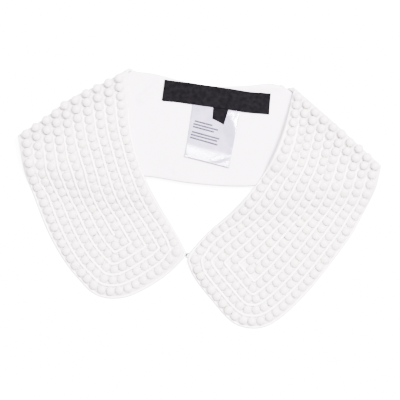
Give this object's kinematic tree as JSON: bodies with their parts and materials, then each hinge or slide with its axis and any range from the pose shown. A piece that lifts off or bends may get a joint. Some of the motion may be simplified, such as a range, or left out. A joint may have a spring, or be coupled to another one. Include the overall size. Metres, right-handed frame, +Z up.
{
  "type": "detachable beaded shirt collar",
  "caption": "Detachable shirt collar laid flat, with round tips covered in rows of round beads, folded over its back panel and hooked at the front.",
  "frame": {"origin": "middle of the collar's plan, on the surface that it lies on", "axes": "+X to the right of the collar as it is seen from above, +Y towards the back neck, +Z up from the surface"},
  "size_m": [0.2726, 0.196, 0.0213],
  "materials": {
    "beads": "white beads and satin cord on white cloth",
    "lining": "plain white lining cloth",
    "black_tape": "black woven tape",
    "satin": "white satin ribbon",
    "wire": "dark wire"
  },
  "bodies": {
    "root": {"front_left": "beads", "front_right": "beads", "shell_back": "beads", "lining_back": "lining", "label_brand": "black_tape", "label_size": "black_tape", "label_care": "satin", "hook": "wire", "eye": "wire"}
  },
  "joints": []
}
